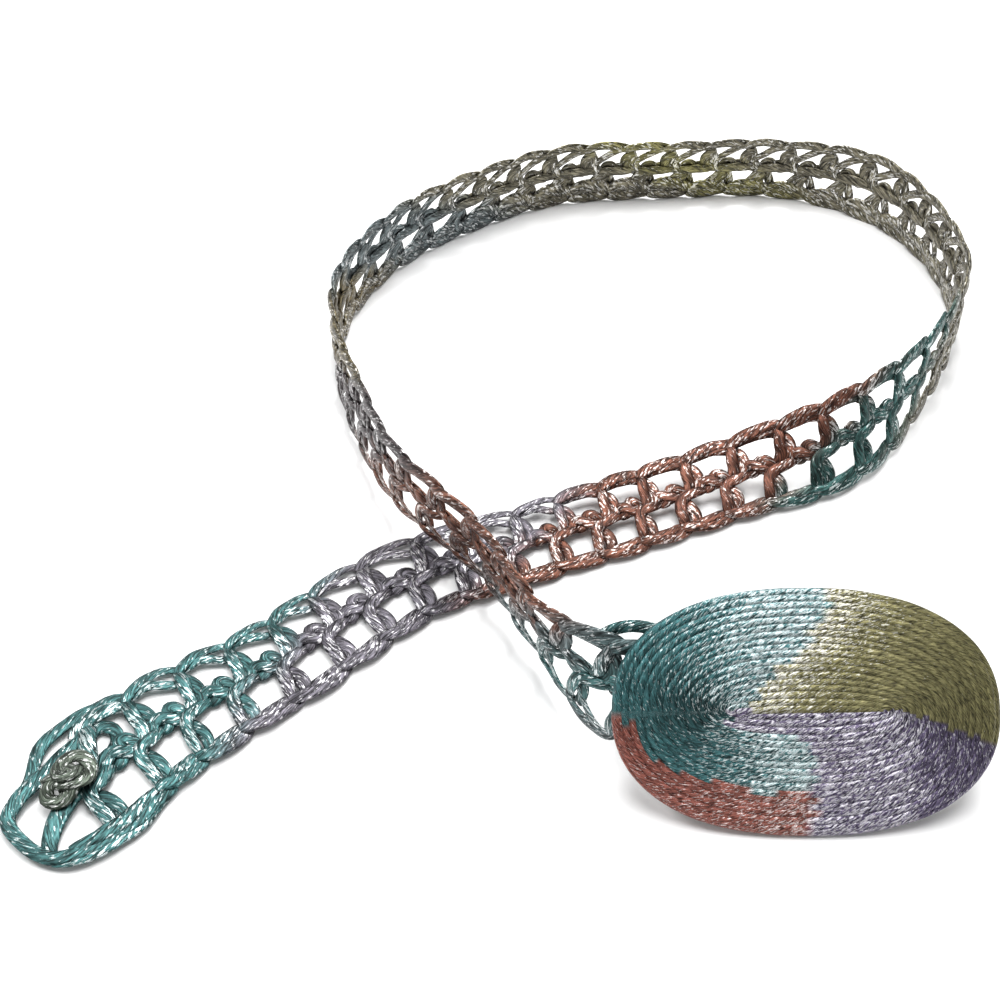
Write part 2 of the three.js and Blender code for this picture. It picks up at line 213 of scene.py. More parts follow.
# Where the strap stands on edge, the light falls on the other ribbons, so the painted highlights swap from
# one set of ribbons to the other: share of its length, and how far.
STANDING = ((0.2, 0.0), (0.235, 1.0), (0.34, 1.0), (0.38, 0.0), (1.0, 0.0))
# The lower rail's dyes run ahead of the upper rail's: share of the length for each millimetre across.
DYE_SLANT = 0.0021
# How far the dyes of two ribbons side by side can lie apart, as a share of the strap's length.
DYE_JITTER = 0.016
# The width of a ribbon where it passes under a knot, as a share.
PINCHED = 0.62
# The stretch of the free end in which the ribbons take on their own width, in metres.
TIP_RANGE = (0.02, 0.16)
# How much line is added before and after the strap's route, in millimetres.
ROUTE_MARGIN = 20.0
# The noise that makes strands stray: its scale, and a gain because it seldom nears its ends.
STRAY_SCALE = 140.0
STRAY_GAIN = 4.0
# How far fibres shift across a ribbon along its length, and how far they turn round a cord, in radians a
# millimetre.
FIBRE_SLANT = 0.4
CORD_TWIST = 0.45
# The wound cord's width and height, as shares of its thickness: its turns press together.
WOUND_WIDTH = 1.22
WOUND_HEIGHT = 0.97
# The strap's free end, in millimetres along, across and out.
TIP_STRANDS = (
    one_strand((1.0, 1.05), (0, 0), (0.5, 0.1), (
        (31, 10.4, -0.6), (26, 9.4, 0.2), (20, 8.6, 0.5), (13.5, 8.9, 0.8), (8.5, 9.0, 0.8),
        (3.8, 7.4, 0.7), (1.7, 3.4, 0.6), (1.3, -1.6, 0.5), (2.6, -6.6, 0.3), (6.5, -9.8, 0.2),
        (12.8, -11.2, 0.2), (19.5, -12.4, 0.2), (27, -12.7, 0.2), (35, -12.6, -0.2))),
    one_strand((0.8, 0.85), (10, 0), (0.2, 0.2), (
        (45, 12.0, -0.7), (41, 13.2, 0.1), (36, 14.0, 0.4), (30.5, 14.9, 0.3), (25, 14.8, 0.1),
        (20, 13.2, -0.1), (15.5, 11.2, -0.3), (10, 9.8, -0.7))),
    one_strand((0.8, 0.95), (0, 15), (0.2, 0.9), (
        (6.5, -8.2, 0.2), (10.5, -9.6, 0.8), (17, -11.0, 0.9), (24, -11.4, 0.7), (31, -11.0, -0.4))),
    one_strand((0.75, 0.8), (0, 0), (0.9, 0.9), (
        (2.0, -7.6, -0.2), (5.4, -10.9, 0.1), (12, -12.8, 0.0), (20, -13.6, -0.1), (27, -13.3, -0.3),
        (34, -12.4, -0.9))),
    one_strand((1.05, 1.2), (0, 0), (0.1, 0.25), (
        (2.8, -6.0, -0.6), (6, -3.0, 0.3), (11, -0.5, 0.6), (16, 0.8, 0.6), (21, 1.1, 0.3),
        (25, 0.4, -0.5))),
    one_strand((1.0, 0.9), (8, 0), (1.0, 0.8), (
        (27.5, 11.0, -0.5), (31, 12.0, 0.5), (35.5, 11.9, 0.8), (39.5, 10.9, 0.5), (43, 9.2, -0.2))),
    one_strand((1.0, 1.05), (10, -10), (0.9, 1.0), (
        (31.5, 12.0, -0.6), (30.4, 9.8, 1.1), (27.8, 6.6, 1.4), (25.4, 3.8, 1.1), (22, 1.8, -0.2))),
    one_strand((0.85, 1.0), (10, 10), (0.2, 0.5), (
        (30, 9.4, -0.7), (33.4, 9.4, 0.0), (35.2, 7.0, 0.3), (34.0, 3.9, 0.4), (30.4, 1.9, 0.4),
        (25.6, 1.0, -0.3))),
)
# The middle of the knot on the free end: along, across and out, in millimetres.
KNOT_PLACE = (19.0, 4.2, 3.4)
# The loops of that knot, in millimetres from its middle, and their scale along and across.
KNOT_SCALE = (0.88, 0.8)
KNOT_LOOPS = (
    one_strand((1.1, 1.0), (0, 20), (0.3, 0.6), (
        (7.0, -4.0, -2.4), (3.0, -2.4, -0.4), (-1.6, 0.2, 1.2), (-6.0, 2.0, 0.9), (-8.6, -0.2, -0.6),
        (-7.4, -4.0, -1.0), (-3.8, -5.0, 0.2), (0.6, -2.6, 1.6), (2.2, 2.2, 1.2), (1.0, 5.4, -0.6))),
    one_strand((1.05, 1.0), (10, -10), (0.6, 0.4), (
        (-5.4, 4.4, -1.4), (-4.2, 0.8, 0.9), (-1.8, -3.2, 1.6), (2.4, -5.2, 0.8), (6.4, -2.6, 0.2),
        (7.4, 2.0, 0.8), (4.6, 5.2, 0.8), (0.2, 4.6, 1.2), (-2.4, 1.4, 2.2), (0.2, -1.8, 2.4),
        (4.0, -0.6, 1.4))),
    one_strand((1.0, 0.8), (0, 20), (0.7, 0.3), (
        (5.2, 0.2, -1.0), (0.8, 1.2, 0.9), (-3.2, 3.2, 1.6), (-6.0, 5.4, 0.6))),
    one_strand((1.1, 1.1), (0, 0), (0.2, 0.2), (
        (-4.0, -2.8, -1.6), (-1.0, 0.2, -0.8), (2.8, 0.8, -0.8), (6.4, 0.0, -1.6))),
)

# The strap's dyes: share of its length from the tip, and the dye there.
STRAP_DYES = (
    (0.0, "teal"), (0.079, "teal"), (0.096, "lilac"), (0.171, "lilac"), (0.187, "copper"), (0.286, "copper"),
    (0.304, "sea"), (0.34, "sea"), (0.362, "taupe"), (0.53, "taupe"), (0.55, "olive"), (0.575, "olive"),
    (0.59, "taupe"), (0.65, "taupe"), (0.67, "slate"), (0.72, "slate"), (0.738, "bronze"), (0.775, "bronze"),
    (0.79, "ash"), (0.832, "ash"), (0.85, "rust"), (0.912, "rust"), (0.93, "slate"), (0.962, "teal"),
    (1.0, "slate"),
)
# Edges of the buckle's fields of dye, in millimetres of its face. The first edge gives x for y, the others
# y for x.
TEAL_OLIVE = ((-1.0, -16.0), (2.8, -14.4), (9.2, -8.0), (13.1, -5.0), (18.2, 1.4), (23.3, 4.4), (31.0, 6.2))
TEAL_COPPER = (
    (-52.0, 1.5), (-49.0, -1.0), (-46.9, -2.3), (-40.6, -11.4), (-34.8, -14.7), (-22.1, -18.4),
    (-11.9, -20.7), (0.9, -20.7),
)
TEAL_LILAC = ((-22.0, -4.0), (-18.8, -4.8), (-3.4, -6.1), (1.1, -8.6), (1.3, -32.0))
LILAC_FROM = -21.0

# Each light's name, place, aim, width in metres and power in watts.
LIGHTS = (
    ("softbox over", (0.05, 0.1, 1.1), (0.0, 0.0, 0.0), 0.9, 13.0),
    ("softbox behind", (0.15, 0.6, 0.8), (0.0, -0.05, 0.0), 0.3, 7.0),
    ("softbox left", (-0.75, 0.1, 0.7), (0.0, 0.0, 0.0), 0.3, 4.0),
)
ROOM_LIGHT = 0.4
TABLE_REACH = 4


def smooth_point(rows, t):
    """A point of the smooth curve through rows, whose knots are spaced by the root of their distance."""
    last = len(rows) - 1
    place = t * last
    i = min(int(place), last - 1)
    u = place - i
    start, end = rows[i], rows[i + 1]
    before = rows[i - 1] if i > 0 else 2 * rows[0] - rows[1]
    after = rows[i + 2] if i + 2 <= last else 2 * rows[last] - rows[last - 1]
    gap = math.sqrt(np.linalg.norm(end - start)) or 1.0
    gap_before = math.sqrt(np.linalg.norm(start - before)) or gap
    gap_after = math.sqrt(np.linalg.norm(after - end)) or gap
    leave = (start - before) / gap_before - (end - before) / (gap_before + gap) + (end - start) / gap
    arrive = (end - start) / gap - (after - start) / (gap + gap_after) + (after - end) / gap_after
    leave, arrive = leave * gap, arrive * gap
    return (
        start
        + leave * u
        + (3 * (end - start) - 2 * leave - arrive) * u ** 2
        + (2 * (start - end) + leave + arrive) * u ** 3
    )


def unit(vector):
    return vector / np.linalg.norm(vector)


def eased(table, at):
    """A table's value, eased between its rows."""
    for (low, value_low), (high, value_high) in zip(table, table[1:]):
        if at <= high:
            u = min(max((at - low) / (high - low), 0.0), 1.0)
            return value_low + (value_high - value_low) * u * u * (3 - 2 * u)
    return table[-1][1]


def buckle_matrix():
    """From the buckle's own frame (x along, y up the face, z out of it) to the row frame, in metres."""
    tilt = math.radians(BUCKLE_TILT)
    height = (BUCKLE_HEIGHT / 2 - SOLID_TURN / 2) * math.sin(tilt)
    seat = Vector((BUCKLE_SEAT[0], BUCKLE_SEAT[1], height)) + Vector(BELT_SHIFT)
    return Matrix.Translation(seat * MM) @ Matrix.Rotation(tilt, 4, "X")


def lay_route():
    """The strap's centre, width direction and outward direction at even steps along it, in millimetres."""
    centres = []
    for across, away, lean, lift in ROUTE:
        lean = math.radians(lean)
        edge = STRAP_WIDTH / 2 * abs(math.cos(lean)) + STRAP_THICKNESS / 2 * math.sin(abs(lean))
        centres.append(np.array((across * LOOP_WIDTH, away * LOOP_DEPTH, edge + lift * CROSSING_HEIGHT)))
    widths = []
    for i, (_, _, lean, _) in enumerate(ROUTE):
        lean = math.radians(lean)
        ahead = centres[min(i + 1, len(centres) - 1)] - centres[max(i - 1, 0)]
        widths.append(UP * math.cos(lean) + unit(np.cross(UP, ahead)) * math.sin(lean))
    centres = [centre + BELT_SHIFT for centre in centres]
    seat = buckle_matrix()
    up_face = np.array(seat.to_3x3() @ Vector((0, 1, 0)))
    for before in STRAP_END:
        place = Vector((-(BUCKLE_SLOT + BUCKLE_HEIGHT) / 2 - before, STRAP_RAISE, -STRAP_BEHIND)) * MM
        centres.append(np.array(seat @ place) / MM)
        widths.append(up_face)
    steps = 3000
    line = np.array([smooth_point(centres, i / steps) for i in range(steps + 1)])
    width = np.array([smooth_point(widths, i / steps) for i in range(steps + 1)])
    lengths = np.concatenate(([0.0], np.cumsum(np.linalg.norm(np.diff(line, axis=0), axis=1))))
    return line, width, lengths


class Route:
    """Places of the flat net on the strap's route."""

    def __init__(self):
        self.line, self.width, self.lengths = lay_route()
        self.length = self.lengths[-1]
        self.repeats = round((self.length - TIP_LENGTH) / KNOT_PITCH)
        self.pitch = (self.length - TIP_LENGTH) / self.repeats

    def at(self, along):
        """Centre, width direction times its spread, and outward direction."""
        slipped = along + eased(SLIP, along)
        inside = min(max(slipped, 0.0), self.length)
        step = 0.5
        here = self._sample(self.line, inside)
        ahead = self._sample(self.line, min(inside + step, self.length))
        behind = self._sample(self.line, max(inside - step, 0.0))
        forward = unit(ahead - behind)
        across = self._sample(self.width, inside)
        across = unit(across - forward * np.dot(across, forward))
        out = np.cross(forward, across)
        spread = eased(SPREAD, inside / TIP_LENGTH)
        return here + forward * (slipped - inside), across * spread, out

    def _sample(self, values, along):
        return np.array([np.interp(along, self.lengths, values[:, axis]) for axis in range(3)])


def poly_mesh(name, paths):
    """A mesh of open lines. Each path holds its points, and named values for each point or for all."""
    mesh = bpy.data.meshes.new(name)
    points = np.concatenate([path["points"] for path in paths])
    edges = []
    start = 0
    for path in paths:
        count = len(path["points"])
        edges += [(start + i, start + i + 1) for i in range(count - 1)]
        start += count
    mesh.from_pydata(points.tolist(), edges, [])
    for key in paths[0]:
        if key == "points":
            continue
        values = np.concatenate([spread_values(path, key) for path in paths])
        kind, field = ("FLOAT", "value") if values.shape[1] == 1 else ("FLOAT_VECTOR", "vector")
        attribute = mesh.attributes.new(key, kind, "POINT")
        attribute.data.foreach_set(field, values.ravel().astype(np.float32))
    return mesh


def spread_values(path, key):
    """A path's values, one row for each point. One number stands for all points."""
    values = np.asarray(path[key], float)
    count = len(path["points"])
    if values.ndim == 0:
        values = np.full(count, values)
    return values.reshape(count, -1)


def new_object(name, data):
    made = bpy.data.objects.new(name, data)
    bpy.context.scene.collection.objects.link(made)
    return made


def make_plain(made):
    """Turns an object with its modifiers into a plain mesh."""
    bpy.context.view_layer.update()
    depsgraph = bpy.context.evaluated_depsgraph_get()
    mesh = bpy.data.meshes.new_from_object(
        made.evaluated_get(depsgraph), preserve_all_data_layers=True, depsgraph=depsgraph
    )
    if not mesh.polygons:
        raise RuntimeError(made.name + " came out empty")
    old = made.data
    made.modifiers.clear()
    made.data = mesh
    mesh.name = made.name
    bpy.data.meshes.remove(old)
    return made


def finish_piece(made, node):
    """Declares a finished piece: it rides on the belt, and stands for a solid."""
    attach(made, "root")
    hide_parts(node)


def add_node(tree, kind, inputs=None, **settings):
    """A node with its settings made and its inputs set or linked, by name or place."""
    node = tree.nodes.new(kind)
    for key, value in settings.items():
        setattr(node, key, value)
    for key, value in (inputs or {}).items():
        if isinstance(value, bpy.types.NodeSocket):
            tree.links.new(value, node.inputs[key])
        else:
            node.inputs[key].default_value = value
    return node


def math_node(tree, operation, *values):
    node = add_node(tree, "ShaderNodeMath", dict(enumerate(values)), operation=operation)
    return node.outputs[0]


def vector_node(tree, operation, *values):
    node = add_node(tree, "ShaderNodeVectorMath", dict(enumerate(values)), operation=operation)
    return node.outputs["Value" if operation in ("DOT_PRODUCT", "LENGTH", "DISTANCE") else "Vector"]


def scaled(tree, vector, factor):
    node = add_node(tree, "ShaderNodeVectorMath", {0: vector, "Scale": factor}, operation="SCALE")
    return node.outputs["Vector"]


def combined(tree, x, y, z):
    return add_node(tree, "ShaderNodeCombineXYZ", {0: x, 1: y, 2: z}).outputs[0]


def position(tree):
    return add_node(tree, "GeometryNodeInputPosition").outputs[0]


def axes_of(tree, vector):
    return add_node(tree, "ShaderNodeSeparateXYZ", {0: vector}).outputs


def new_tree(name, inputs):
    """A geometry tree with a mesh in, a mesh out, and the named inputs between."""
    tree = bpy.data.node_groups.new(name, "GeometryNodeTree")
    tree.interface.new_socket("Geometry", in_out="INPUT", socket_type="NodeSocketGeometry")
    for label, kind in inputs:
        tree.interface.new_socket(label, in_out="INPUT", socket_type="NodeSocket" + kind)
    tree.interface.new_socket("Geometry", in_out="OUTPUT", socket_type="NodeSocketGeometry")
    return tree, tree.nodes.new("NodeGroupInput"), tree.nodes.new("NodeGroupOutput")


def named(tree, name, kind="FLOAT"):
    node = add_node(tree, "GeometryNodeInputNamedAttribute", {"Name": name}, data_type=kind)
    return node.outputs["Attribute"]


def stored(tree, geometry, name, value, kind="FLOAT", domain="POINT"):
    node = add_node(
        tree,
        "GeometryNodeStoreNamedAttribute",
        {"Geometry": geometry, "Name": name, "Value": value},
        data_type=kind,
        domain=domain,
    )
    return node.outputs["Geometry"]


def swept(tree, lines, width, thickness, sides):
    """A strand along each line, flat side up. It keeps its section and its length along, in millimetres."""
    curve = add_node(tree, "GeometryNodeMeshToCurve", {"Mesh": lines}).outputs[0]
    curve = add_node(tree, "GeometryNodeSetCurveNormal", {"Curve": curve}, mode="Z_UP").outputs[0]
    turn = math_node(tree, "RADIANS", named(tree, "turn"))
    curve = add_node(tree, "GeometryNodeSetCurveTilt", {"Curve": curve, "Tilt": turn}).outputs[0]
    parameter = add_node(tree, "GeometryNodeSplineParameter")
    along = math_node(tree, "DIVIDE", parameter.outputs["Length"], MM)
    curve = stored(tree, curve, "along", along)
    circle = add_node(tree, "GeometryNodeCurvePrimitiveCircle", {"Resolution": sides, "Radius": 1.0})
    half_width, half_thickness = (math_node(tree, "DIVIDE", size, 2.0) for size in (width, thickness))
    half = combined(tree, half_width, half_thickness, 1.0)
    section = add_node(tree, "GeometryNodeTransform", {"Geometry": circle.outputs["Curve"], "Scale": half})
    place = scaled(tree, position(tree), 1 / MM)
    section = stored(tree, section.outputs[0], "section", place, "FLOAT_VECTOR")
    strand = add_node(
        tree,
        "GeometryNodeCurveToMesh",
        {"Curve": curve, "Profile Curve": section, "Scale": named(tree, "size"), "Fill Caps": True},
    )
    return strand.outputs[0]


def end_tree(tree, outgoing, geometry, material):
    smooth = add_node(tree, "GeometryNodeSetShadeSmooth", {"Geometry": geometry}).outputs[0]
    real = add_node(tree, "GeometryNodeRealizeInstances", {"Geometry": smooth}).outputs[0]
    finished = add_node(tree, "GeometryNodeSetMaterial", {"Geometry": real, "Material": material})
    tree.links.new(finished.outputs[0], outgoing.inputs[0])


def wobbled(tree, geometry, amount, seed):
    """Lines moved a little to each side, so that no two repeats are alike."""
    noise = add_node(
        tree,
        "ShaderNodeTexNoise",
        {"Vector": position(tree), "W": seed, "Scale": STRAY_SCALE, "Detail": 1.0},
        noise_dimensions="4D",
    )
    shift = vector_node(tree, "SUBTRACT", noise.outputs["Color"], (0.5, 0.5, 0.5))
    shift = vector_node(tree, "MULTIPLY", shift, (1.0, 1.0, 0.5))
    shift = scaled(tree, shift, math_node(tree, "MULTIPLY", amount, STRAY_GAIN))
    return add_node(tree, "GeometryNodeSetPosition", {"Geometry": geometry, "Offset": shift}).outputs[0]


def net_tree():
    """Repeats flat strands along a line and bends them onto the strap's route."""
    tree, given, outgoing = new_tree("Ribbon net on a route", (
        ("Route", "Object"), ("Repeats", "Int"), ("Start", "Float"), ("Pitch", "Float"),
        ("Route start", "Float"), ("Route end", "Float"), ("Ribbon width", "Float"),
        ("Ribbon thickness", "Float"), ("Tip width", "Float"), ("Dye slant", "Float"),
        ("Unevenness", "Float"), ("Seed", "Float"), ("Finish", "Material"),
    ))
    value = given.outputs
    line = add_node(tree, "GeometryNodeMeshLine", {
        "Count": value["Repeats"],
        "Start Location": combined(tree, value["Start"], 0.0, 0.0),
        "Offset": combined(tree, value["Pitch"], 0.0, 0.0),
    }, mode="OFFSET").outputs[0]
    line = stored(tree, line, "repeat", add_node(tree, "GeometryNodeInputIndex").outputs[0])
    placed = add_node(tree, "GeometryNodeInstanceOnPoints", {"Points": line, "Instance": value["Geometry"]})
    lines = add_node(tree, "GeometryNodeRealizeInstances", {"Geometry": placed.outputs[0]}).outputs[0]
    lines = wobbled(tree, lines, value["Unevenness"], value["Seed"])
    widening = add_node(tree, "ShaderNodeMapRange", {
        "Value": axes_of(tree, position(tree))["X"],
        "From Min": TIP_RANGE[0],
        "From Max": TIP_RANGE[1],
        "To Min": value["Tip width"],
        "To Max": 1.0,
    }).outputs[0]
    lines = stored(tree, lines, "size", math_node(tree, "MULTIPLY", named(tree, "size"), widening))
    mesh = swept(tree, lines, value["Ribbon width"], value["Ribbon thickness"], 12)
    flat = axes_of(tree, position(tree))
    share = add_node(tree, "ShaderNodeMapRange", {
        "Value": flat["X"], "From Min": value["Route start"], "From Max": value["Route end"],
    }).outputs[0]
    dye = add_node(tree, "ShaderNodeMapRange", {
        "Value": flat["X"], "From Min": 0.0, "From Max": value["Route end"],
    }).outputs[0]
    strand = math_node(tree, "MULTIPLY_ADD", named(tree, "repeat"), 7.0, named(tree, "strand"))
    mesh = stored(tree, mesh, "strand", strand)
    ahead = math_node(tree, "MULTIPLY_ADD", flat["Y"], value["Dye slant"], dye)
    mesh = stored(tree, mesh, "share", ahead)
    route = add_node(tree, "GeometryNodeObjectInfo", {"Object": value["Route"]}).outputs["Geometry"]
    route = add_node(tree, "GeometryNodeMeshToCurve", {"Mesh": route}).outputs[0]
    sampled = []
    for name in ("standing", "centre", "across", "out"):
        kind = "FLOAT" if name == "standing" else "FLOAT_VECTOR"
        sampled.append(add_node(tree, "GeometryNodeSampleCurve", {
            "Curves": route, "Value": named(tree, name, kind), "Factor": share,
        }, data_type=kind, mode="FACTOR").outputs["Value"])
    standing, centre, across, out = sampled
    # Painted highlights: the share of painted glints, swapped between ribbons where the strap stands on edge.
    shine = named(tree, "shine")
    swapped = math_node(tree, "SUBTRACT", 0.9, shine)
    glow = add_node(tree, "ShaderNodeMix", {0: standing, 2: shine, 3: swapped}, data_type="FLOAT")
    mesh = stored(tree, mesh, "glow", glow.outputs[0])
    place = vector_node(tree, "ADD", centre, scaled(tree, across, flat["Y"]))
    place = vector_node(tree, "ADD", place, scaled(tree, out, flat["Z"]))
    bent = add_node(tree, "GeometryNodeSetPosition", {"Geometry": mesh, "Position": place}).outputs[0]
    end_tree(tree, outgoing, bent, value["Finish"])
    return tree


def strand_tree():
    """Strands along lines, then put in their place by a shift and a tilt."""
    tree, given, outgoing = new_tree("Strands along lines", (
        ("Strand width", "Float"), ("Strand thickness", "Float"), ("Sides", "Int"), ("Unevenness", "Float"),
        ("Seed", "Float"), ("Place", "Vector"), ("Tilt", "Float"), ("Finish", "Material"),
    ))
    value = given.outputs
    lines = wobbled(tree, value["Geometry"], value["Unevenness"], value["Seed"])
    mesh = swept(tree, lines, value["Strand width"], value["Strand thickness"], value["Sides"])
    mesh = stored(tree, mesh, "glow", named(tree, "shine"))
    turn = combined(tree, value["Tilt"], 0.0, 0.0)
    placed = add_node(tree, "GeometryNodeTransform", {
        "Geometry": mesh, "Translation": value["Place"], "Rotation": turn,
    }).outputs[0]
    end_tree(tree, outgoing, placed, value["Finish"])
    return tree


def grow(name, mesh, tree, values):
    """An object made by a geometry tree from a mesh of lines, as a plain mesh."""
    made = new_object(name, mesh)
    modifier = made.modifiers.new("Strands", "NODES")
    modifier.node_group = tree
    for item in tree.interface.items_tree:
        if item.in_out == "INPUT" and item.name in values:
            modifier[item.identifier] = values[item.name]
    return make_plain(made)


def strand_paths(strands, along_size, across_size, first=0.0, steps=3):
    """Smooth lines through the strands' points, in metres, with their width, turn and number."""
    paths = []
    for number, strand in enumerate(strands):
        rows = [np.array((x * along_size, y * across_size, out)) for x, y, out in strand["points"]]
        count = steps * (len(rows) - 1)
        shares = np.linspace(0.0, 1.0, count + 1)
        points = np.array([smooth_point(rows, share) for share in shares])
        points[:, 0] += first
        ends = (strand[key] for key in ("turn", "width", "shine"))
        turn, width, shine = (start + (end - start) * shares for start, end in ends)
        size = width * (PINCHED + (1 - PINCHED) * np.sin(np.pi * shares) ** 0.45)
        paths.append({
            "points": points * MM, "turn": turn, "size": size, "shine": shine, "strand": float(number),
        })
    return paths


def route_line(route):
    """A straight line that carries the route's places, so that an even share along it is an even length."""
    count = 1600
    alongs = np.linspace(-ROUTE_MARGIN, route.length + ROUTE_MARGIN, count)
    places = [route.at(along) for along in alongs]
    line = np.zeros((count, 3))
    line[:, 0] = alongs * MM
    carrier = poly_mesh("route", [{
        "points": line,
        "centre": np.array([place[0] for place in places]) * MM,
        "across": np.array([place[1] for place in places]),
        "out": np.array([place[2] for place in places]),
        "standing": np.array([eased(STANDING, along / route.length) for along in alongs]),
    }])
    return new_object("route", carrier)


def new_material(name):
    material = bpy.data.materials.new(name)
    material.use_nodes = True
    tree = material.node_tree
    tree.nodes.clear()
    shader = add_node(tree, "ShaderNodeBsdfPrincipled")
    output = tree.nodes.new("ShaderNodeOutputMaterial")
    tree.links.new(shader.outputs[0], output.inputs["Surface"])
    return material, tree, shader


def read_attribute(tree, name, output="Fac"):
    return add_node(tree, "ShaderNodeAttribute", attribute_name=name).outputs[output]


def mixed(tree, factor, first, second, blend="MIX"):
    node = add_node(tree, "ShaderNodeMix", data_type="RGBA", blend_type=blend)
    for place, value in ((0, factor), (6, first), (7, second)):
        if isinstance(value, bpy.types.NodeSocket):
            tree.links.new(value, node.inputs[place])
        else:
            node.inputs[place].default_value = value
    return node.outputs[2]


def eased_range(tree, value, low, high, to_low=0.0, to_high=1.0):
    node = add_node(tree, "ShaderNodeMapRange", {
        "Value": value, "From Min": low, "From Max": high, "To Min": to_low, "To Max": to_high,
    }, interpolation_type="SMOOTHSTEP")
    return node.outputs[0]


def fibre_coordinates(tree, stretch, twisted):
    """Texture space of a strand, in millimetres: long along the fibres, which run at a slant along it."""
    section = read_attribute(tree, "section", "Vector")
    along = read_attribute(tree, "along")
    if twisted:
        angle = math_node(tree, "MULTIPLY", along, CORD_TWIST)
        turned = {"Vector": section, "Angle": angle}
        slanted = add_node(tree, "ShaderNodeVectorRotate", turned, rotation_type="Z_AXIS").outputs[0]
    else:
        shift = math_node(tree, "MULTIPLY", along, FIBRE_SLANT)
        slanted = vector_node(tree, "ADD", section, combined(tree, shift, 0.0, 0.0))
    depth = math_node(tree, "MULTIPLY", along, stretch)
    base = vector_node(tree, "ADD", slanted, combined(tree, 0.0, 0.0, depth))
    strand = read_attribute(tree, "strand")
    return vector_node(tree, "ADD", base, scaled(tree, combined(tree, 3.7, 5.3, 11.9), strand))


def fibre_noise(tree, stretch, scale, detail=2.0, twisted=False):
    place = fibre_coordinates(tree, stretch, twisted)
    return noise_at(tree, place, scale, detail, 0.6)


def noise_at(tree, place, scale, detail, roughness=0.5):
    return add_node(tree, "ShaderNodeTexNoise", {
        "Vector": place, "Scale": scale, "Detail": detail, "Roughness": roughness,
    }).outputs["Fac"]


def fibres_with_painted_light(tree, shader, dye, twisted=False):
    """Fine filaments with painted shade in the gaps between them and painted pale glints on them, over a dye.
    """
    shine = read_attribute(tree, "glow")
    finer, darkest = (1.6, 0.78) if twisted else (1.0, 0.42)
    filaments = fibre_noise(tree, 0.12, 2.6 * finer, 3.0, twisted)
    bundles = fibre_noise(tree, 0.2, 0.8, 1.0, twisted)
    glints = fibre_noise(tree, 0.34, 1.5 * finer, 2.0, twisted)
    # Painted shade: the dye is darkened in the gaps between filaments and bundles, and lightened on their
    # tops.
    fine_shade = eased_range(tree, filaments, 0.34, 0.62, 0.15, 1.2)
    broad_shade = eased_range(tree, bundles, 0.3, 0.7, darkest, 1.3)
    shade = math_node(tree, "MULTIPLY", fine_shade, broad_shade)
    deep = vector_node(tree, "MULTIPLY", dye, combined(tree, shade, shade, shade))
    # Painted highlights: pale glints painted into the base colour, more of them where the painted shine is
    # higher.
    level = math_node(tree, "MULTIPLY_ADD", shine, -0.15, 0.63)
    over = math_node(tree, "DIVIDE", math_node(tree, "SUBTRACT", glints, level), 0.07)
    on_top = eased_range(tree, filaments, 0.4, 0.55)
    glint = math_node(tree, "MULTIPLY", eased_range(tree, over, 0.0, 1.0), on_top)
    pale = add_node(tree, "ShaderNodeGamma", {"Color": dye, "Gamma": 0.35}).outputs[0]
    bright = mixed(tree, 0.42, pale, (1.0, 1.0, 1.0, 1.0))
    tree.links.new(mixed(tree, glint, deep, bright), shader.inputs["Base Color"])
    tree.links.new(math_node(tree, "MULTIPLY_ADD", glint, -0.15, 0.42), shader.inputs["Roughness"])
    shader.inputs["Metallic"].default_value = 0.7
    relief = math_node(tree, "MULTIPLY_ADD", bundles, 1.5, filaments)
    bump = add_node(tree, "ShaderNodeBump", {"Height": relief, "Strength": 0.9, "Distance": 0.25 * MM})
    tree.links.new(bump.outputs[0], shader.inputs["Normal"])


def object_place(tree):
    return add_node(tree, "ShaderNodeTexCoord").outputs["Object"]


def dye_color(settings, name):
    return (*getattr(settings, name), 1.0)


def strap_finish(settings):
    """Ribbon dyed in fields along the strap, with painted glints and painted shade between its fibres."""
    material, tree, shader = new_material("dyed ribbon")
    strand = read_attribute(tree, "strand")
    noise = add_node(tree, "ShaderNodeTexWhiteNoise", {"W": strand}, noise_dimensions="1D").outputs["Value"]
    share = math_node(tree, "MULTIPLY_ADD", noise, DYE_JITTER, read_attribute(tree, "share"))
    share = math_node(tree, "SUBTRACT", share, DYE_JITTER / 2)
    ramp = add_node(tree, "ShaderNodeValToRGB", {"Fac": share})
    stops = ramp.color_ramp.elements
    while len(stops) > 1:
        stops.remove(stops[-1])
    stops[0].position = STRAP_DYES[0][0]
    stops[0].color = dye_color(settings, STRAP_DYES[0][1])
    for place, name in STRAP_DYES[1:]:
        stop = stops.new(place)
        stop.color = dye_color(settings, name)
    fibres_with_painted_light(tree, shader, ramp.outputs["Color"])
    return material


def plain_ribbon_finish(name, dye):
    """Ribbon in one dye, a little uneven, with painted glints and painted shade between its fibres."""
    material, tree, shader = new_material(name)
    uneven = fibre_noise(tree, 0.2, 0.3)
    darker = tuple(channel * 0.6 for channel in dye[:3]) + (1.0,)
    fibres_with_painted_light(tree, shader, mixed(tree, uneven, darker, dye))
    return material


def cord_finish():
    """Twisted metallic cord, in the dye that each stretch of it carries, with painted glints and painted
    shade between its fibres.
    """
    material, tree, shader = new_material("wound cord")
    fibres_with_painted_light(tree, shader, read_attribute(tree, "dye", "Vector"), True)
    return material


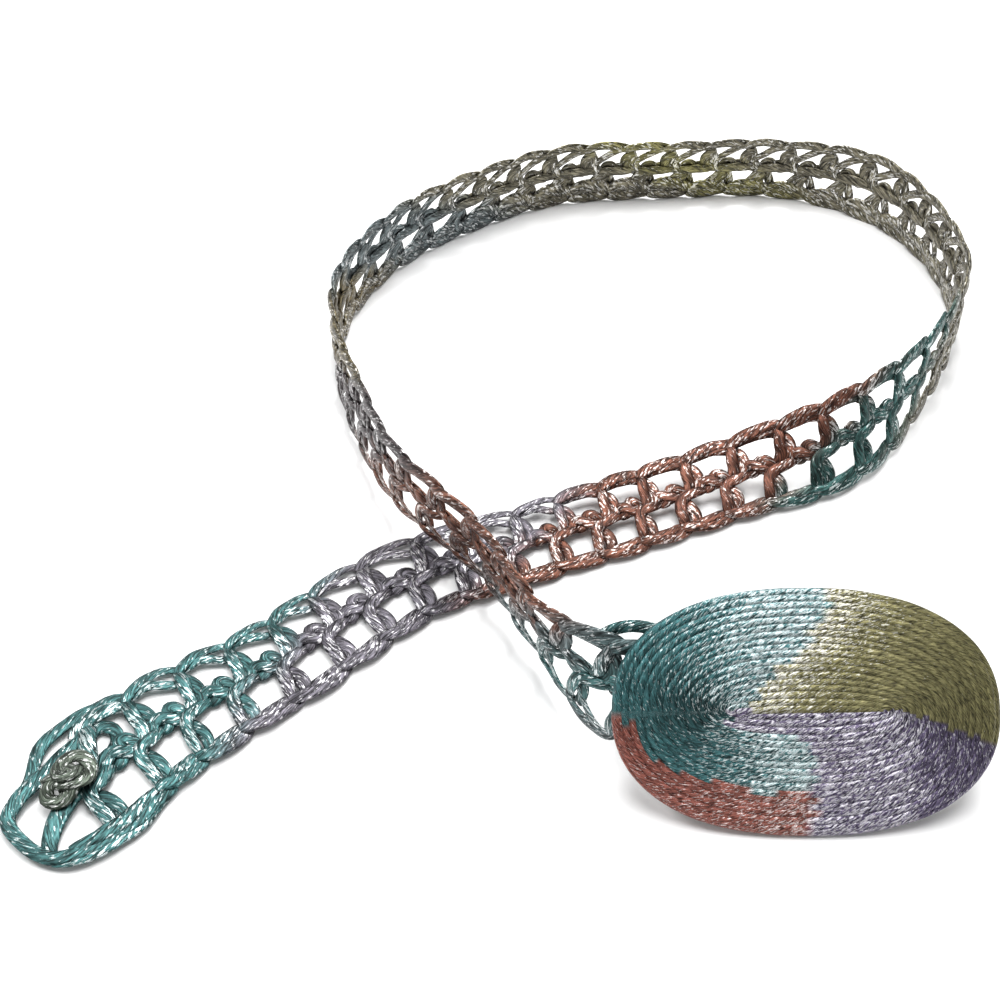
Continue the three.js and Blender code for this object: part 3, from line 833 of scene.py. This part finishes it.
def backing_finish(settings):
    """Close plain-woven cloth behind the buckle, painted lighter on its raised crossings as a painted
    highlight.
    """
    material, tree, shader = new_material("backing cloth")
    turned = add_node(tree, "ShaderNodeMapping", {
        "Vector": object_place(tree), "Rotation": (-math.radians(BUCKLE_TILT), 0, 0),
    })
    axes = axes_of(tree, turned.outputs[0])
    thread_pair = 0.8 * MM
    warp, weft = (
        math_node(tree, "SINE", math_node(tree, "MULTIPLY", axes[axis], 2 * math.pi / thread_pair))
        for axis in ("X", "Y")
    )
    weave = math_node(tree, "MULTIPLY", warp, weft)
    # Painted highlight: the raised crossings of the weave are painted lighter than the dips.
    painted_crossing_light = tuple(1.6 * part for part in settings.backing)
    color = mixed(tree, eased_range(tree, weave, -1, 1), (*settings.backing, 1.0), (*painted_crossing_light, 1.0))
    tree.links.new(color, shader.inputs["Base Color"])
    shader.inputs["Roughness"].default_value = 0.85
    bump = add_node(tree, "ShaderNodeBump", {"Height": weave, "Strength": 0.6, "Distance": 0.1 * MM})
    tree.links.new(bump.outputs[0], shader.inputs["Normal"])
    return material


def hook_finish():
    """Satin brass strip with fine drawing lines and duller clouds."""
    material, tree, shader = new_material("satin brass")
    place = object_place(tree)
    stretched = add_node(tree, "ShaderNodeMapping", {"Vector": place, "Scale": (0.06, 1.0, 1.0)}).outputs[0]
    lines = noise_at(tree, stretched, 4200.0, 3.0)
    cloud = noise_at(tree, place, 260.0, 3.0)
    dull, bright = (0.36, 0.26, 0.11, 1.0), (0.62, 0.47, 0.22, 1.0)
    color = mixed(tree, eased_range(tree, cloud, 0.35, 0.7), dull, bright)
    tree.links.new(color, shader.inputs["Base Color"])
    shader.inputs["Metallic"].default_value = 1.0
    tree.links.new(eased_range(tree, lines, 0.3, 0.7, 0.25, 0.45), shader.inputs["Roughness"])
    bump = add_node(tree, "ShaderNodeBump", {"Height": lines, "Strength": 0.25, "Distance": 0.03 * MM})
    tree.links.new(bump.outputs[0], shader.inputs["Normal"])
    return material


def table_finish(settings):
    """Plain pale table."""
    material, tree, shader = new_material("pale table")
    cloud = noise_at(tree, object_place(tree), 3.0, 2.0)
    tint = tuple(min(1.0, channel * 1.03) for channel in settings.table) + (1.0,)
    tree.links.new(mixed(tree, cloud, (*settings.table, 1.0), tint), shader.inputs["Base Color"])
    shader.inputs["Roughness"].default_value = 0.75
    shader.inputs["Specular IOR Level"].default_value = 0.2
    return material


def dye_property(name, description, color):
    return bpy.props.FloatVectorProperty(
        name=name, description=description, default=color, subtype="COLOR", min=0.0, max=1.0
    )


class BELT_PG_ribbon(bpy.types.PropertyGroup):
    width: bpy.props.FloatProperty(
        name="Ribbon width", description="Width of each flat ribbon", default=4.0 * MM, unit="LENGTH",
        min=1 * MM)
    thickness: bpy.props.FloatProperty(
        name="Ribbon thickness", description="Thickness of each flat ribbon", default=1.6 * MM, unit="LENGTH",
        min=0.5 * MM)
    tip_width: bpy.props.FloatProperty(
        name="Tip width", description="Width of the ribbons at the free end, as a share of the others",
        default=0.95, subtype="FACTOR", min=0.5, max=2.0)
    unevenness: bpy.props.FloatProperty(
        name="Unevenness", description="How far the ribbons stray from an even net", default=0.35 * MM,
        unit="LENGTH", min=0.0)
    seed: bpy.props.FloatProperty(name="Seed", description="Seed of the unevenness", default=3.0)
    teal: dye_property("Teal", "Dye of the free end", (0.055, 0.15, 0.15))
    lilac: dye_property("Lilac", "Dye after the free end", (0.14, 0.13, 0.153))
    copper: dye_property("Copper", "Dye of the front of the loop", (0.14, 0.054, 0.034))
    sea: dye_property("Sea", "Dye of the loop's right bend", (0.04, 0.105, 0.098))
    taupe: dye_property("Taupe", "Dye of the back of the loop", (0.17, 0.155, 0.11))
    olive: dye_property("Olive", "Yellowest dye of the back", (0.2, 0.185, 0.075))
    knot: dye_property("Knot", "Dye of the knot on the free end", (0.13, 0.16, 0.125))
    slate: dye_property("Slate", "Dye of the loop's left", (0.12, 0.145, 0.15))
    ash: dye_property("Ash", "Dye of the loop's left, towards the crossing", (0.07, 0.058, 0.06))
    rust: dye_property("Rust", "Dye next to the crossing", (0.17, 0.075, 0.05))
    bronze: dye_property("Bronze", "Dye of the loop's left corner", (0.14, 0.115, 0.065))


class BELT_PG_buckle(bpy.types.PropertyGroup):
    turns: bpy.props.IntProperty(name="Turns", description="Turns of cord on the face", default=17, min=5)
    cord: bpy.props.FloatProperty(
        name="Cord", description="Thickness of the wound cord", default=2.3 * MM, unit="LENGTH",
        min=0.5 * MM)
    teal: dye_property("Teal", "Cord at the upper left", (0.042, 0.13, 0.137))
    olive: dye_property("Olive", "Cord at the upper right", (0.19, 0.175, 0.08))
    lilac: dye_property("Lilac", "Cord at the lower right", (0.097, 0.079, 0.138))
    copper: dye_property("Copper", "Cord at the lower left", (0.25, 0.085, 0.065))
    backing: dye_property("Backing", "Cloth behind the buckle", (0.05, 0.05, 0.04))


class BELT_PG_stage(bpy.types.PropertyGroup):
    table: dye_property("Table", "Colour of the table", (0.93, 0.93, 0.93))
    distance: bpy.props.FloatProperty(
        name="Camera distance", description="From the camera to the middle of the belt", default=0.475,
        unit="LENGTH")
    elevation: bpy.props.FloatProperty(
        name="Camera elevation", description="Height of the camera over the table, as an angle",
        default=math.radians(44), subtype="ANGLE")
    lens: bpy.props.FloatProperty(name="Lens", description="Focal length", default=54.0, min=1.0)


class BELT_OT_braid_strap(bpy.types.Operator):
    """Braids the ribbon net of the strap and its round free end"""

    bl_idname = "belt.braid_strap"
    bl_label = "Braid Strap"

    def execute(self, context):
        ribbon = context.scene.belt_ribbon
        route = Route()
        carrier = route_line(route)
        tree = net_tree()
        shared = {
            "Route": carrier,
            "Pitch": route.pitch * MM,
            "Route start": -ROUTE_MARGIN * MM,
            "Route end": (route.length + ROUTE_MARGIN) * MM,
            "Ribbon width": ribbon.width,
            "Ribbon thickness": ribbon.thickness,
            "Tip width": ribbon.tip_width,
            "Dye slant": -DYE_SLANT / MM,
            "Unevenness": ribbon.unevenness,
            "Finish": strap_finish(ribbon),
        }
        last = route.repeats
        groups = (
            ("upper_rail_open", OPEN_UPPER_RAIL, 1, OPEN_UNTIL),
            ("upper_rail_front", UPPER_RAIL, OPEN_UNTIL, FRONT_UNTIL),
            ("upper_rail_back", BACK_UPPER_RAIL, FRONT_UNTIL, BACK_UNTIL),
            ("upper_rail_left", UPPER_RAIL, BACK_UNTIL, last),
            ("upper_rungs", UPPER_RUNGS, 0, last),
            ("spine", SPINE_STRANDS, 0, last),
            ("lower_rail_front", LOWER_RAIL, 0, FRONT_UNTIL),
            ("lower_rail_right", BACK_LOWER_RAIL, FRONT_UNTIL, CLOSED_FROM),
            ("lower_rail_back", CLOSED_LOWER_RAIL, CLOSED_FROM, CLOSED_UNTIL),
            ("lower_rail_corner", BACK_LOWER_RAIL, CLOSED_UNTIL, BACK_UNTIL),
            ("lower_rail_left", CROSSING_LOWER_RAIL, BACK_UNTIL, last - 1),
        )
        for number, (name, strands, first, until) in enumerate(groups):
            mesh = poly_mesh(name, strand_paths(strands, route.pitch, STRAP_WIDTH))
            start = (TIP_LENGTH + first * route.pitch) * MM
            made = grow(name, mesh, tree, {
                **shared, "Repeats": until - first, "Start": start, "Seed": ribbon.seed + 10 * number,
            })
            finish_piece(made, "braided_strap")
        first_knot = strand_paths(SPINE_STRANDS[3:], route.pitch, STRAP_WIDTH, TIP_LENGTH - route.pitch)
        mesh = poly_mesh("tip_turns", strand_paths(TIP_STRANDS, 1.0, 1.0) + first_knot)
        made = grow("tip_turns", mesh, tree, {
            **shared, "Repeats": 1, "Start": 0.0, "Seed": ribbon.seed + 40,
        })
        finish_piece(made, "braided_strap")
        bpy.data.objects.remove(carrier)
        return {"FINISHED"}


class BELT_OT_tie_knot(bpy.types.Operator):
    """Ties the knot of ribbon on the free end"""

    bl_idname = "belt.tie_knot"
    bl_label = "Tie End Knot"

    def execute(self, context):
        ribbon = context.scene.belt_ribbon
        place, across, out = Route().at(KNOT_PLACE[0])
        across = unit(across)
        forward = np.cross(across, out)
        middle = place + across * KNOT_PLACE[1] + out * KNOT_PLACE[2]
        paths = strand_paths(KNOT_LOOPS, *KNOT_SCALE)
        for path in paths:
            path["points"] = path["points"] @ np.array((forward, across, out))
        made = grow("end_knot_turns", poly_mesh("end_knot_turns", paths), strand_tree(), {
            "Strand width": ribbon.width,
            "Strand thickness": ribbon.thickness,
            "Sides": 10,
            "Unevenness": ribbon.unevenness,
            "Seed": ribbon.seed,
            "Place": Vector(middle) * MM,
            "Tilt": 0.0,
            "Finish": plain_ribbon_finish("knot ribbon", dye_color(ribbon, "knot")),
        })
        finish_piece(made, "end_knot")
        return {"FINISHED"}


class BELT_OT_wind_buckle(bpy.types.Operator):
    """Winds the buckle's cord in an oval spiral over its backing"""

    bl_idname = "belt.wind_buckle"
    bl_label = "Wind Buckle"

    def execute(self, context):
        buckle = context.scene.belt_buckle
        seat = buckle_matrix()
        made = grow("buckle_cord", poly_mesh("buckle_cord", [wound_path(buckle)]), strand_tree(), {
            "Strand width": buckle.cord * WOUND_WIDTH,
            "Strand thickness": buckle.cord * WOUND_HEIGHT,
            "Sides": 10,
            "Unevenness": 0.06 * MM,
            "Seed": 5.0,
            "Place": seat.to_translation(),
            "Tilt": math.radians(BUCKLE_TILT),
            "Finish": cord_finish(),
        })
        finish_piece(made, "wound_buckle")
        core = new_object("buckle_backing", backing_mesh(buckle, seat))
        core.data.materials.append(backing_finish(buckle))
        finish_piece(core, "wound_buckle")
        return {"FINISHED"}


def oval_point(reach, angle):
    """A point of the oval at a reach from the slot line, in millimetres."""
    power = 2 / BUCKLE_ROUNDNESS
    across, up = math.cos(angle), math.sin(angle)
    return (
        (BUCKLE_SLOT / 2 + reach) * math.copysign(abs(across) ** power, across),
        reach * math.copysign(abs(up) ** power, up),
    )


def face_height(reach):
    return BUCKLE_RIM + BUCKLE_DOME * (1 - (reach / (BUCKLE_HEIGHT / 2)) ** 2)


def wound_path(buckle):
    """The cord from the slot outwards over the face, then down round the rim."""
    radius = buckle.cord / MM / 2
    full = BUCKLE_HEIGHT / 2 - radius * 0.9
    face_turns = buckle.turns
    rim_heights = (face_height(full) - radius * 1.6, radius * 1.15)
    steps = 150
    points, dyes_with_painted_shade, turns, painted_shines = [], [], [], []
    total = face_turns + len(rim_heights)
    for i in range(int(total * steps) + 1):
        turn = i / steps
        angle = math.pi - 2 * math.pi * turn
        loose = 0.13 * math.sin(2.4 * turn + 1.3 * math.sin(0.9 * turn)) + 0.1 * math.sin(7.1 * turn)
        if turn <= face_turns:
            reach = 0.1 + (full - 0.1) * turn / face_turns + loose * min(1.0, face_turns - turn)
            height = face_height(reach) - radius + 0.12 * math.sin(5.3 * turn + 1.0)
        else:
            step = turn - face_turns
            index = min(int(step), len(rim_heights) - 1)
            before = face_height(full) - radius if index == 0 else rim_heights[index - 1]
            ease = min((step - index) / 0.25, 1.0)
            height = before + (rim_heights[index] - before) * ease * ease * (3 - 2 * ease)
            reach = full + radius * (0.45, 0.3)[index] * min(step * 4, 1.0)
        x, y = oval_point(reach, angle)
        points.append((x - WINDING_SHIFT, y, height))
        dye, shine = cord_dye_and_painted_light(buckle, x, y, int(turn + 0.5))
        dyes_with_painted_shade.append(dye)
        painted_shines.append(shine)
        turns.append(float(int(turn)))
    return {
        "points": np.array(points) * MM,
        "turn": 0.0,
        "size": 1.0,
        "shine": np.array(painted_shines),
        "strand": np.array(turns),
        "dye": np.array(dyes_with_painted_shade),
    }


def edge_at(edge, at):
    firsts, seconds = zip(*edge)
    return float(np.interp(at, firsts, seconds))


def cord_dye_and_painted_light(buckle, x, y, turn):
    """The dye, with painted shade, and the painted shine of the cord at a place of the face. The edges shift
    a little from turn to turn.
    """
    x = x + 1.3 * math.sin(turn * 2.4) + 0.8 * math.sin(turn * 5.3)
    # Painted shade: the teal is darker round the slot's left end, where the turns catch less light.
    painted_shade_dip = 1.0 - 0.55 * math.exp(-((x + 27.0) / 14.0) ** 2 - (y / 10.0) ** 2)
    teal = tuple(part * painted_shade_dip for part in buckle.teal)
    # Each return also gives the painted shine: how many painted glints the cord carries there.
    slot_line = 0.3 - max(x - 24.0, 0.0) * 0.36
    if y > slot_line:
        edge = edge_at(TEAL_OLIVE, y)
        if x < edge:
            return teal, min(max((x + 42) / 22, 0.1), 1.35)
        return tuple(buckle.olive), min(max(1.4 - (x - edge) / 17, -0.5), 1.3)
    if x > LILAC_FROM and (x > 1.0 or y > edge_at(TEAL_LILAC, x)):
        return tuple(buckle.lilac), 1.1 if x < 28 else 0.5
    if y < edge_at(TEAL_COPPER, x):
        return tuple(buckle.copper), min(max((x + 54) / 60, 0.1), 0.9)
    return teal, min(max((x + 36) / 20, 0.1), 1.4)


def backing_mesh(buckle, seat):
    """The oval plate under the cord, with a slightly domed front and a flat back."""
    radius = buckle.cord / MM / 2
    full = BUCKLE_HEIGHT / 2 - radius * 1.3
    rings = [(full * 0.5, 0.0), (full, 0.0), (full, face_height(full) - 2.2 * radius)]
    for share in (0.8, 0.6, 0.4, 0.2, 0.05):
        rings.append((full * share, face_height(full * share) - 1.3 * radius))
    count = 72
    vertices = []
    for reach, height in rings:
        for i in range(count):
            x, y = oval_point(reach, 2 * math.pi * i / count)
            vertices.append(seat @ (Vector((x, y, height)) * MM))
    faces = []
    for ring in range(len(rings) - 1):
        for i in range(count):
            a = ring * count + i
            b = ring * count + (i + 1) % count
            faces.append((a, b, b + count, a + count))
    faces.append(tuple(reversed(range(count))))
    last = (len(rings) - 1) * count
    faces.append(tuple(range(last, last + count)))
    mesh = bpy.data.meshes.new("buckle_backing")
    mesh.from_pydata(vertices, [], faces)
    return mesh


class BELT_OT_lay_tie(bpy.types.Operator):
    """Lays the last ribbon of the upper rail over to the buckle"""

    bl_idname = "belt.lay_tie"
    bl_label = "Lay Tie Ribbon"

    def execute(self, context):
        ribbon = context.scene.belt_ribbon
        start, end = TIE_SPAN
        rows = [np.array((
            start + (end - start) * share,
            TIE_FOOT + TIE_RISE * math.sin(math.pi * share) - 1.6 * (1 - share) ** 4,
            -1.2 - 0.9 * (1 - share) ** 3 + 0.5 * share,
        )) for share in np.linspace(0, 1, 9)]
        count = 33
        points = np.array([smooth_point(rows, share) for share in np.linspace(0, 1, count)])
        turn = np.linspace(20, -10, count)
        path = {"points": points * MM, "turn": turn, "size": 1.0, "shine": 0.6, "strand": 9.0}
        made = grow("tie_ribbon", poly_mesh("tie_ribbon", [path]), strand_tree(), {
            "Strand width": ribbon.width * 0.85,
            "Strand thickness": ribbon.thickness * 0.9,
            "Sides": 12,
            "Unevenness": 0.0,
            "Seed": 1.0,
            "Place": buckle_matrix().to_translation(),
            "Tilt": math.radians(BUCKLE_TILT),
            "Finish": plain_ribbon_finish("tie ribbon", dye_color(ribbon, "teal")),
        })
        finish_piece(made, "tie_cord")
        return {"FINISHED"}


class BELT_OT_dress_hook(bpy.types.Operator):
    """Gives the hidden hook its satin brass"""

    bl_idname = "belt.dress_hook"
    bl_label = "Dress Hook"

    def execute(self, context):
        finish = hook_finish()
        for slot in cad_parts["hook"].material_slots:
            slot.material = finish
        return {"FINISHED"}


class BELT_OT_add_stage(bpy.types.Operator):
    """Adds the pale table, the soft lights and the camera"""

    bl_idname = "belt.add_stage"
    bl_label = "Add Stage"

    def execute(self, context):
        stage = context.scene.belt_stage
        mesh = bpy.data.meshes.new("table")
        corners = [(x * TABLE_REACH, y * TABLE_REACH, 0) for x, y in ((-1, -1), (1, -1), (1, 1), (-1, 1))]
        mesh.from_pydata(corners, [], [(0, 1, 2, 3)])
        table = new_object("table", mesh)
        mesh.materials.append(table_finish(stage))
        for light in LIGHTS:
            add_light(*light)
        world = bpy.data.worlds.new("soft room")
        world.use_nodes = True
        room = world.node_tree.nodes["Background"].inputs
        room["Color"].default_value = (1.0, 1.0, 1.0, 1.0)
        room["Strength"].default_value = ROOM_LIGHT
        context.scene.world = world
        context.scene.view_settings.view_transform = "Standard"
        aim = Vector(BELT_SHIFT) * MM
        back = Vector((0.0, -math.cos(stage.elevation), math.sin(stage.elevation)))
        camera_data = bpy.data.cameras.new("camera")
        camera_data.lens = stage.lens
        camera_data.sensor_width = 36.0
        camera_data.clip_start = 0.01
        camera_data.clip_end = 50.0
        camera = new_object("camera", camera_data)
        camera.location = aim + back * stage.distance
        camera.rotation_euler = (-back).to_track_quat("-Z", "Y").to_euler()
        context.scene.camera = camera
        return {"FINISHED"}


def add_light(name, place, aim, size, power):
    data = bpy.data.lights.new(name, "AREA")
    data.shape = "DISK"
    data.size = size
    data.energy = power
    light = new_object(name, data)
    light.location = place
    light.rotation_euler = (Vector(aim) - Vector(place)).to_track_quat("-Z", "Y").to_euler()


class BELT_PT_panel(bpy.types.Panel):
    """Lists the belt's pieces in the order in which they are made"""

    bl_idname = "BELT_PT_panel"
    bl_label = "Braided Belt"
    bl_space_type = "VIEW_3D"
    bl_region_type = "UI"
    bl_category = "Belt"

    def draw(self, context):
        for settings in (context.scene.belt_ribbon, context.scene.belt_buckle, context.scene.belt_stage):
            box = self.layout.box()
            for name in settings.__annotations__:
                box.prop(settings, name)
        for operator in OPERATORS:
            self.layout.operator(operator.bl_idname)


SETTINGS = {"belt_ribbon": BELT_PG_ribbon, "belt_buckle": BELT_PG_buckle, "belt_stage": BELT_PG_stage}
OPERATORS = (
    BELT_OT_add_stage,
    BELT_OT_braid_strap,
    BELT_OT_tie_knot,
    BELT_OT_wind_buckle,
    BELT_OT_lay_tie,
    BELT_OT_dress_hook,
)


def register():
    for group in SETTINGS.values():
        bpy.utils.register_class(group)
    for name, group in SETTINGS.items():
        setattr(bpy.types.Scene, name, bpy.props.PointerProperty(type=group))
    for operator in OPERATORS:
        bpy.utils.register_class(operator)
    bpy.utils.register_class(BELT_PT_panel)


def unregister():
    bpy.utils.unregister_class(BELT_PT_panel)
    for operator in reversed(OPERATORS):
        bpy.utils.unregister_class(operator)
    for name in SETTINGS:
        delattr(bpy.types.Scene, name)
    for group in SETTINGS.values():
        bpy.utils.unregister_class(group)


def main():
    register()
    bpy.ops.belt.add_stage()
    bpy.ops.belt.braid_strap()
    bpy.ops.belt.tie_knot()
    bpy.ops.belt.wind_buckle()
    bpy.ops.belt.lay_tie()
    bpy.ops.belt.dress_hook()


if __name__ == "__main__":
    main()
